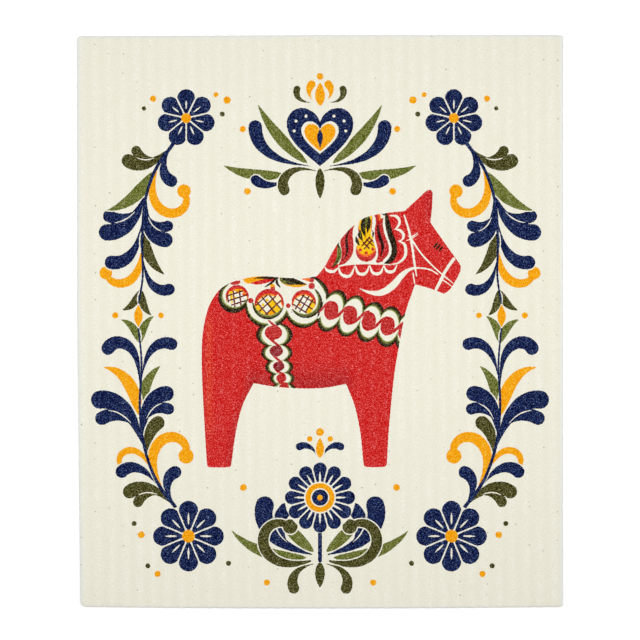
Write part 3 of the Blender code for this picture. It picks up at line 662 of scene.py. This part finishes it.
line([(6.4, 19.4), (10, 20), (16, 20.3), (22, 20.1), (25, 19.9)], [0.5, 0.4, 0.3], "white")

# bridle and rein in bare lines, and the lashes of the closed eye
line([(29.4, 37.4), (30.9, 32.6), (32.1, 27), (33.1, 20), (33.8, 15.8)], [0.5, 0.75, 0.8, 0.75, 0.3], "white")
line([(31.9, 28.9), (35.6, 23.6), (40.6, 18.4), (46.6, 13.4)], [0.6, 0.5, 0.5, 0.35], "white")
line([(41.8, 15.3), (44, 13.9), (46.3, 12.2)], [0.35, 0.4, 0.3], "white")
line([(46.8, 22), (43.8, 17.6), (42.2, 14.4), (40.4, 10.8)], [1.1, 1.05, 1.1, 0.95], "white")
rein = [
    (41.3, 16.6), (38.4, 18.2), (34.6, 18.8), (31.4, 18.3), (28.6, 16.2), (25.4, 12.6), (21.6, 10.2),
    (17.6, 10.2), (13.8, 11.6),
]
line(rein, [0.4, 0.5, 0.55, 1, 1.9, 2.5, 2.2, 1.2, 0.15], "white")
line([(32.5, 17.2), (32.8, 15.2), (33.1, 13.2)], [0.35, 0.45, 0.3], "white")
line([(30, 28.2), (32.2, 29.2), (34.4, 30.6)], [0.2, 0.4, 0.2], "white")
line([(30.6, 29.9), (32.4, 29.9), (34.2, 31.1)], [0.2, 0.35, 0.2], "white")
for lash in ([(39.7, 25.8), (41.2, 27.6)], [(40.6, 25.2), (42, 26.9)], [(41.7, 24.6), (42.8, 26.2)]):
    line(lash, [0.5, 0.85, 0.5], "dark")
print("horse drawn:", len(shapes), "shapes in all")

# the sheet
size = [(clothBox[1][i] - clothBox[0][i]) / mm for i in range(3)]
sheet = {
    "width": size[0],
    "length": size[1],
    "thickness": size[2],
    "cornerRadii": (2.0, 0.9, 0.9, 1.1),  # from the lower left, round by the right
    "leftTaper": 1.1,  # the cut runs in by this much towards the lower left corner
    "endBow": 0.5,  # the lower edge bows out by this much at its middle
    "topDip": 0.4,  # the upper edge falls by this much towards its left corner
    "ribPitch": 4.84,
    "ribLean": -0.0068,  # mm across for each mm up: the cut isn't quite square to the ribs
    "ribShift": -0.85,  # where the middle rib's crest passes the middle of the sheet
    "upperGroove": 0.35,
    "lowerGroove": 0.2,
    "edgeStep": 0.7,  # between points of the cut edge
    "fuzz": 0.07,  # how far fibres carry the cut edge in or out
    "bleed": 0.06,  # how far dye creeps along the fibres
    "outlineStep": 0.45,  # between points of a printed outline
    "gridStep": (0.81, 2.4),  # across and along the ribs, on the printed face
    "underStep": (1.21, 5.0),  # and on the underside
    "gridStart": (1.0, 1.4),  # from the lower left corner to the grid's first point
    "gridEnd": (0.8, 1.2),  # left free before the upper right corner
    "gridRoom": 0.6,  # no grid point lies nearer the cut edge
    "snap": 0.004,  # points nearer than this become one
    "faceInset": 0.4,  # the flat faces stop this far inside the cut edge
    "edgeInset": 0.12,  # the rounded edge's first ring lies this far inside it
    "edgeDrops": (0.13, 0.45),  # how far its two rings lie below the face, or above the underside
    "rimWidth": 1.1,  # painted shade: the cut edge and this width of the faces beside it are painted a cooler, greyer white
}
halfSize = np.array([sheet["width"], sheet["length"]]) / 2


def resampled(outline, step):
    # points at even steps round a closed outline
    loop = np.vstack([outline, outline[:1]])
    along = np.concatenate([[0], np.cumsum(np.linalg.norm(np.diff(loop, axis=0), axis=1))])
    count = max(8, int(round(along[-1] / step)))
    places = np.linspace(0, along[-1], count, endpoint=False)
    return np.stack([np.interp(places, along, loop[:, k]) for k in (0, 1)], 1)


def crept(points, amount):
    # each point moved by a sum of short waves over the sheet, 0.7 to 1.9 mm long
    x, y = points.T
    dx = np.sin(5.1 * x + 3.7 * y) + np.sin(8.3 * y - 2.2 * x + 1.3) + 0.8 * np.sin(3.1 * y - 4.4 * x + 0.4)
    dy = np.sin(4.6 * y - 3.9 * x + 2.1) + np.sin(8.9 * x + 1.7 * y) + 0.8 * np.sin(3.6 * x + 2.9 * y + 4.0)
    return points + amount * 0.6 * np.stack([dx, dy], 1)


def holds(outline, points):
    # a point is inside if the outline winds round it: sides crossing its level upwards less those downwards
    x, y = points[:, 0, None], points[:, 1, None]
    ax, ay = outline.T
    bx, by = np.roll(outline, -1, axis=0).T
    leftOf = (bx - ax) * (y - ay) - (x - ax) * (by - ay)
    up = (ay <= y) & (by > y) & (leftOf > 0)
    down = (ay > y) & (by <= y) & (leftOf < 0)
    return (up.sum(1) - down.sum(1)) != 0


def cutEdge():
    # the sheet's outline: straight sides with bowed ends, each corner a quarter circle
    (w, l), taper, bow = halfSize, sheet["leftTaper"], sheet["endBow"]
    corners = [(taper - w, bow - l), (w, bow - l), (w, l), (-w, l - sheet["topDip"])]
    turns = [180, 270, 0, 90]
    points = []
    for (cx, cy), start, r in zip(corners, turns, sheet["cornerRadii"]):
        sx, sy = -math.copysign(r, cx), -math.copysign(r, cy)
        a = np.radians(start + np.linspace(0, 90, 7))
        points.append(np.stack([cx + sx + r * np.cos(a), cy + sy + r * np.sin(a)], 1))
        if start == 180:
            points.append(np.array([[x, -l + bow * (x / w) ** 2] for x in (-50, -25, 0, 25, 50)]))
        if start == 0:
            points.append(np.array([[0.0, l]]))
        if start == 90:
            points.append(np.array([[-w, taper]]))
    outline = resampled(np.vstack(points), sheet["edgeStep"])
    away = np.roll(outline, -1, axis=0) - np.roll(outline, 1, axis=0)
    away = np.stack([away[:, 1], -away[:, 0]], 1) / np.linalg.norm(away, axis=1)[:, None]
    # the fibres: two slow waves, each times a slower one, along the edge
    i = np.arange(len(outline))
    wave = np.sin(i * 0.9) * np.sin(i * 0.23 + 1) + 0.7 * np.sin(i * 1.7 + 0.5) * np.sin(i * 0.11)
    return outline - away * sheet["fuzz"] * (0.5 + 0.5 * wave)[:, None], away


def groove(points):
    # 0 on a rib's crest and 1 at a groove's bottom: a cosine wave across the ribs, which lean a little
    across = points[:, 0] - sheet["ribShift"] - sheet["ribLean"] * points[:, 1]
    return 0.5 - 0.5 * np.cos(2 * np.pi * across / sheet["ribPitch"])


def inkOf(centres, printed):
    # the last shape that holds a centre gives its ink; boxes round the shapes save most of the work
    inks = np.zeros(len(centres), int)
    for outline, ink, inside in printed:
        near = np.arange(len(centres))
        for loop in (outline, inside):
            if loop is not None and len(near):
                c = centres[near]
                near = near[((c > loop.min(0)) & (c < loop.max(0))).all(1)]
                near = near[holds(loop, centres[near])]
        inks[near] = inkNames.index(ink)
    return inks


def planOf(ring, outlines, gridStep):
    # a Delaunay plan that keeps the ring and the outlines, with points on a grid between them
    low, high = sheet["gridStart"] - halfSize, halfSize - sheet["gridEnd"]
    levels = [np.arange(low[k], high[k], gridStep[k]) for k in (0, 1)]
    grid = np.stack(np.meshgrid(*levels, indexing="ij"), -1)
    grid[::2, :, 1] += gridStep[1] / 2  # every other column is moved up by half a step
    grid = grid.reshape(-1, 2)
    grid = grid[holds(ring * ((halfSize - sheet["gridRoom"]) / halfSize), grid)]
    loops = [ring, *outlines]
    starts = np.cumsum([0] + [len(loop) for loop in loops])
    edges = []
    for start, loop in zip(starts, loops):
        i = np.arange(len(loop))
        edges.append(np.stack([start + i, start + (i + 1) % len(loop)], 1))
    points = np.vstack(loops + [grid])
    found = delaunay_2d_cdt(points.tolist(), np.vstack(edges).tolist(), [], 0, sheet["snap"])
    plan, triangles = np.array(found[0]), np.array(found[2])
    corner = plan[triangles]
    area = np.cross(corner[:, 1] - corner[:, 0], corner[:, 2] - corner[:, 0])
    triangles[area < 0] = triangles[area < 0][:, ::-1]
    inside = holds(ring, corner.mean(1)) & (np.abs(area) > 1e-7)
    placeOf = np.empty(len(points), int)
    for i, sources in enumerate(found[3]):
        placeOf[sources] = i
    return plan, triangles[inside], placeOf[: len(ring)]


def asPrinted(outline):
    # even points, each crept a little along the fibres
    return None if outline is None else crept(resampled(outline, sheet["outlineStep"]), sheet["bleed"])


printed = [(asPrinted(outline), ink, asPrinted(inside)) for outline, ink, inside in shapes]
print("outlines:", len(printed), "with", sum(len(o) for o, *_ in printed), "points")

edgeLine, edgeAway = cutEdge()
faceRing = edgeLine - edgeAway * sheet["faceInset"]
upper, upperFaces, upperRing = planOf(faceRing, [o for o, *_ in printed], sheet["gridStep"])
under, underFaces, underRing = planOf(faceRing, [], sheet["underStep"])
print("sheet planned:", len(upperFaces), "triangles above,", len(underFaces), "below")


def clothMesh():
    # the printed face, four rings round the rounded edge, and the underside, all closed up
    inner, (slight, full) = edgeLine - edgeAway * sheet["edgeInset"], sheet["edgeDrops"]
    upperZ, high = (sheet["thickness"] - sheet["upperGroove"] * groove(at) for at in (upper, edgeLine))
    underZ, low = (sheet["lowerGroove"] * groove(at) for at in (under, edgeLine))
    rings = [(inner, high - slight), (edgeLine, high - full), (edgeLine, low + full), (inner, low + slight)]
    points = [np.column_stack(part) for part in [(upper, upperZ), *rings, (under, underZ)]]
    starts = np.cumsum([0] + [len(p) for p in points])
    faces = [upperFaces, underFaces[:, ::-1] + starts[5]]
    loops = [upperRing, *(start + np.arange(len(edgeLine)) for start in starts[1:5]), underRing + starts[5]]
    for a, b in zip(loops, loops[1:]):
        an, bn = np.roll(a, -1), np.roll(b, -1)
        faces += [np.column_stack([a, b, bn]), np.column_stack([a, bn, an])]
    middle = [(clothBox[0][i] + clothBox[1][i]) / 2 for i in (0, 1)] + [clothBox[0][2]]
    points = np.vstack(points)
    # how near the cut edge each point lies, from 1 there to 0 at rimWidth inwards; it masks the painted edge
    # shade and the cut edge's pores
    w, l = halfSize
    x, y = points[:, 0], points[:, 1]
    left = -w + sheet["leftTaper"] * np.clip(-y / l, 0, 1)
    inwards = np.minimum(np.minimum(x - left, w - x), np.minimum(y + l, l - y))
    rim = np.clip(1 - inwards / sheet["rimWidth"], 0, 1)
    return points * mm + middle, np.vstack(faces), groove(points), rim


redShading = {"dark": "#9C2226", "warm": "#E2542C", "belly": 0.55, "ear": 0.35, "leg": 0.35, "rump": 0.5}


def ramp(value, start, way):
    # rises evenly from 0 at the start to 1 after the way, which is negative where it rises backwards
    return np.clip((value - start) / way, 0, 1)


def redShades(x, y):
    # shares of the darker red, along the belly, ear and hind leg, and of the warmer one, up the rump
    belly = ramp(y, -13.5, -8) * ramp(y, -25, 2) * ramp(x, -27, 4) * ramp(x, 13, -4)
    ear = ramp(x, 35, 4) * ramp(y, 33, 4)
    past = x - np.interp(y, (-49.6, -38, -29, -21.5), (-31, -29.3, -27, -23.2))  # beyond the leg's inner side
    leg = ramp(past, -3.2, 3) * ramp(past, 1, -0.6) * ramp(y, -16, -8)
    rump = np.exp(-(((x + 38.7) / 0.8) ** 2)) * ramp(y, 4, -6) * ramp(y, -44, 12)
    dark = redShading["belly"] * belly + redShading["ear"] * ear + redShading["leg"] * leg
    return np.clip(dark, 0, 1), redShading["rump"] * rump


def meshObject(name, points, faces):
    # a smooth object at the origin, its place in its mesh
    mesh = bpy.data.meshes.new(name)
    mesh.from_pydata(points.tolist(), [], faces.tolist())
    mesh.shade_smooth()
    thing = bpy.data.objects.new(name, mesh)
    bpy.context.scene.collection.objects.link(thing)
    return thing


points, faces, grooves, rims = clothMesh()
cloth = meshObject("spongeCloth", points, faces)
inks = np.zeros(len(faces), int)
inks[:len(upperFaces)] = inkOf(upper[upperFaces].mean(1), printed)
# each face's ink as its colour, and as its alpha whether there is any
colours = np.ones((len(faces), 3, 4))
colours[:, :, :3] = np.array([linear(inkHex[name]) for name in inkNames])[inks][:, None]
colours[:, :, 3] = np.array([name not in ("cloth", "white") for name in inkNames])[inks][:, None]
isRed = inks == inkNames.index("red")
redCorners = points[faces[isRed]] / mm
for share, shade in zip(redShades(redCorners[..., 0], redCorners[..., 1]), ("dark", "warm")):
    colours[isRed, :, :3] += share[..., None] * (linear(redShading[shade]) - colours[isRed, :, :3])
attribute = cloth.data.color_attributes.new("print", "FLOAT_COLOR", "CORNER")
attribute.data.foreach_set("color", colours.astype(np.float32).ravel())
# groove masks the painted shade in the grooves, rim the painted shade along the edge and the cut edge's pores
for name, values in (("groove", grooves), ("rim", rims)):
    attribute = cloth.data.attributes.new(name, "FLOAT", "POINT")
    attribute.data.foreach_set("value", values.astype(np.float32))
print("cloth made:", len(faces), "triangles")


# its material
def nodeMakers(owner):
    # empties the node tree of a material or world, and gives three functions that fill it
    owner.use_nodes = True
    tree = owner.node_tree
    tree.nodes.clear()

    def add(kind, sockets=None, **settings):
        # a node with its own properties set and its sockets filled with values or links
        node = tree.nodes.new(kind)
        for name, value in settings.items():
            setattr(node, name, value)
        for key, value in (sockets or {}).items():
            if isinstance(value, bpy.types.Node):  # a node stands for its first output in use
                value = next(output for output in value.outputs if output.enabled)
            if isinstance(value, bpy.types.NodeSocket):
                tree.links.new(value, node.inputs[key])
            else:
                node.inputs[key].default_value = value
        return node

    def reckon(operation, *values):
        # one operation on numbers
        return add("ShaderNodeMath", dict(enumerate(values)), operation=operation)

    def carry(value, low, high, toLow=0, toHigh=1):
        # the range from low to high carried evenly to another one, whose ends hold beyond it
        ends = {"From Min": low, "From Max": high, "To Min": toLow, "To Max": toHigh}
        return add("ShaderNodeMapRange", {"Value": value, **ends})

    return add, reckon, carry


spongeLook = {
    "grain": 0.36,  # mm across a pore; the real ones are finer, drawn as coarse as shows
    "cloud": 4.0,  # mm across the faint cloudy patches
    "band": 1.7,  # mm across the streaks along the ribs
    "bandStretch": (1, 0.06, 1),  # they run on for a good 16 times that
    "pore": 0.8,  # mm from pore to pore of the cut edge
    # groove is the painted shade in the grooves, and also the darker tone of the grain
    "shades": {
        # cut is painted shade, a cooler, greyer white over the cut edge and the border beside it
        "crest": "#F4F2E6", "cloud": "#EBE8D8", "groove": "#E3DFCB", "cut": "#E9EAE4", "pore": "#B4B1A0",
    },
    "inkGrain": 1.68,  # how much more or less bare cloth shows from grain to grain, in display values
    "inkRibShade": 0.05,  # painted shade: how much more bare cloth shows through the ink on a crest than in a groove
    "inkBare": 0.93,  # the display value of what shows
    "inkThickness": (0.92, 1.07),  # the dye's own strength, from the thinnest grain to the thickest
    "speck": "#837D6C",
    "speckCell": 4.9,  # mm between specks
    "speckRadius": 0.24,  # mm
    "speckRarity": 6.0,  # the higher, the fewer are dark
    "speckHidden": 0.75,  # share of a speck that ink covers
    "roughness": (0.88, 0.98),  # as matt as blotting paper
    "specular": 0.1,
    "ior": 1.45,
    "bump": 0.25,
    "bumpHeight": 0.12 * mm,
}


def spongeMaterial():
    # cast cellulose sponge with dye pressed into it: matt and faintly cloudy, with pores that grain the ink
    look = spongeLook
    material = bpy.data.materials.new("cast cellulose sponge cloth, dye printed")
    add, reckon, carry = nodeMakers(material)
    vectorMath = "ShaderNodeVectorMath"
    place = add("ShaderNodeTexCoord").outputs["Object"]
    inMm = add(vectorMath, {0: place, "Scale": 1 / mm}, operation="SCALE")
    drawn = add(vectorMath, {0: inMm, 1: look["bandStretch"]}, operation="MULTIPLY")
    ink = add("ShaderNodeAttribute", attribute_name="print").outputs
    grooveShadeAt = add("ShaderNodeAttribute", attribute_name="groove").outputs["Fac"]
    edgeShadeAndPoresAt = add("ShaderNodeAttribute", attribute_name="rim").outputs["Fac"]
    noises = (
        ("grain", inMm, 1, 0.6), ("cloud", inMm, 3, 0.55), ("band", drawn, 2, 0.5), ("pore", inMm, 2, 0.6),
    )
    grain, cloud, band, pore = (
        add("ShaderNodeTexNoise", {"Vector": at, "Scale": 1 / look[name], "Detail": fine, "Roughness": rough})
        for name, at, fine, rough in noises
    )
    # bare cloth: painted shade makes it a little darker in its grooves; it has faint clouds, streaks along
    # the ribs and fine grain, and a cut edge that opens the sponge's pores, with a cooler, greyer painted
    # shade over it and the border beside it
    bare = (*linear(look["shades"]["crest"]), 1)
    for value, start, full, most, shade in (  # where a shade starts and is full, and its greatest share
        (grooveShadeAt, 0, 1, 0.5, "groove"), (cloud, 0.35, 0.7, 0.5, "cloud"), (band, 0.4, 0.7, 0.4, "cloud"),
        (grain, 0.38, 0.72, 1, "groove"), (edgeShadeAndPoresAt, 0.1, 0.6, 0.9, "cut"), (pore, 0.5, 0.64, 0.6, "pore"),
    ):
        share = carry(value, start, full, 0, most)
        if shade == "pore":
            share = reckon("MULTIPLY", share, carry(edgeShadeAndPoresAt, 0.9, 1))
        sockets = {0: share, 6: bare, 7: (*linear(look["shades"][shade]), 1)}
        bare = add("ShaderNodeMix", sockets, data_type="RGBA")
    # ink: more or less bare cloth shows through from grain to grain, and more on a crest than in a groove as
    # painted shade; reckoned as the eye sees it: display value + share * (bare - display value)
    asSeen = add("ShaderNodeGamma", {0: ink["Color"], 1: 1 / 2.2})
    share = reckon("MULTIPLY", reckon("SUBTRACT", grain, 0.5), look["inkGrain"])
    share = reckon("MULTIPLY_ADD", reckon("SUBTRACT", 0.5, grooveShadeAt), look["inkRibShade"], share)
    paler = add(vectorMath, {0: (look["inkBare"],) * 3, 1: asSeen}, operation="SUBTRACT")
    paler = add(vectorMath, {0: paler, "Scale": share}, operation="SCALE")
    shifted = add(vectorMath, {0: asSeen, 1: paler}, operation="ADD")
    # and the dye itself lies thicker or thinner
    dye = carry(grain, 0.25, 0.75, *look["inkThickness"])
    shifted = add(vectorMath, {0: shifted, "Scale": dye}, operation="SCALE")
    shifted = add(vectorMath, {0: shifted, 1: (0, 0, 0)}, operation="MAXIMUM")
    inked = add("ShaderNodeGamma", {0: shifted, 1: 2.2})
    face = add("ShaderNodeMix", {0: ink["Alpha"], 6: bare, 7: inked}, data_type="RGBA")
    # sparse husk specks of the wood pulp: a power of each cell's random number picks the few dark ones
    sockets = {"Vector": inMm, "Scale": 1 / look["speckCell"]}
    cells = add("ShaderNodeTexVoronoi", sockets, voronoi_dimensions="2D").outputs
    reach = look["speckRadius"] / look["speckCell"]
    near = carry(cells["Distance"], 0.5 * reach, 1.3 * reach, 1, 0)
    chance = carry(add("ShaderNodeSeparateColor", {0: cells["Color"]}), 0.3, 1)
    chosen = reckon("MULTIPLY", near, reckon("POWER", chance, look["speckRarity"]))
    share = reckon("MULTIPLY", chosen, reckon("MULTIPLY_ADD", ink["Alpha"], -look["speckHidden"], 1))
    face = add("ShaderNodeMix", {0: share, 6: face, 7: (*linear(look["speck"]), 1)}, data_type="RGBA")
    # fine relief, and gloss that goes with the grain
    height = reckon("MULTIPLY_ADD", grain, 0.6, cloud)
    bump = add("ShaderNodeBump", {"Height": height, "Strength": look["bump"], "Distance": look["bumpHeight"]})
    shader = add("ShaderNodeBsdfPrincipled", {
        "Base Color": face, "Roughness": carry(grain, 0.3, 0.7, *look["roughness"]), "Normal": bump,
        "IOR": look["ior"], "Specular IOR Level": look["specular"],
    })
    add("ShaderNodeOutputMaterial", {"Surface": shader})
    return material


cloth.data.materials.append(spongeMaterial())
print("material made")

# floor, light and camera
stage = {
    "field": 223.75,  # mm of the printed face across the picture
    "aim": 0.595,  # mm above the sheet's middle
    "lens": 90.0,
    "sensor": 36.0,
    "worldStrength": 0.455,
    "lampPower": 1.12,
    "lampSize": (0.6, 0.1),  # metres, as are the next three
    "lampPlace": (0.0, 0.02, 0.36),
    "floorReach": 3.0,
    "floorDrop": 1e-4,  # under the cloth, so that the two don't touch
    "floorShade": (0.96, 0.96, 0.96, 1),
    "floorLift": 0.16,  # light added to what is seen of the floor, not to what it sheds
}


def floorMaterial():
    # white seamless card: it takes the cloth's shadow, and is seen a little lifted so that it reaches white
    material = bpy.data.materials.new("white seamless card")
    add, reckon, _ = nodeMakers(material)
    rays = add("ShaderNodeLightPath").outputs
    seen = reckon("MAXIMUM", rays["Is Camera Ray"], rays["Is Glossy Ray"])
    seen = reckon("MAXIMUM", seen, rays["Is Transmission Ray"])
    lift = reckon("MULTIPLY", seen, stage["floorLift"])
    glow = add("ShaderNodeEmission", {"Color": (1, 1, 1, 1), "Strength": lift})
    card = add("ShaderNodeBsdfDiffuse", {"Color": stage["floorShade"]})
    add("ShaderNodeOutputMaterial", {"Surface": add("ShaderNodeAddShader", {0: card, 1: glow})})
    return material


signs = np.array([(-1, -1, -1), (1, -1, -1), (1, 1, -1), (-1, 1, -1)])
floorCorners = signs * [stage["floorReach"], stage["floorReach"], stage["floorDrop"]]
floor = meshObject("floor", floorCorners, np.array([(0, 1, 2), (0, 2, 3)]))
floor.data.materials.append(floorMaterial())

# the room: white where it is seen, and dimmer as a light
world = bpy.data.worlds.new("daylight room")
bpy.context.scene.world = world
add, reckon, carry = nodeMakers(world)
rays = add("ShaderNodeLightPath").outputs
seen = reckon("MAXIMUM", rays["Is Camera Ray"], rays["Is Transmission Ray"])
strength = carry(seen, 0, 1, stage["worldStrength"], 1)
sky = add("ShaderNodeBackground", {"Color": (1, 1, 1, 1), "Strength": strength})
add("ShaderNodeOutputWorld", {"Surface": sky})

lamp = bpy.data.lights.new("softbox", "AREA")
lamp.shape, lamp.energy = "RECTANGLE", stage["lampPower"]
lamp.size, lamp.size_y = stage["lampSize"]
lampObject = bpy.data.objects.new("softbox", lamp)
lampObject.location = stage["lampPlace"]
lampObject.visible_camera = False
bpy.context.scene.collection.objects.link(lampObject)

camera = bpy.data.cameras.new("camera")
camera.lens, camera.sensor_width = stage["lens"], stage["sensor"]
cameraObject = bpy.data.objects.new("camera", camera)
above = stage["field"] * mm * stage["lens"] / stage["sensor"]
cameraObject.location = (0, stage["aim"] * mm, clothBox[1][2] + above)
bpy.context.scene.collection.objects.link(cameraObject)
bpy.context.scene.camera = cameraObject
bpy.context.scene.view_settings.view_transform = "Standard"

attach(cloth, "root")
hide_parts("sponge_cloth")
print("scene ready")
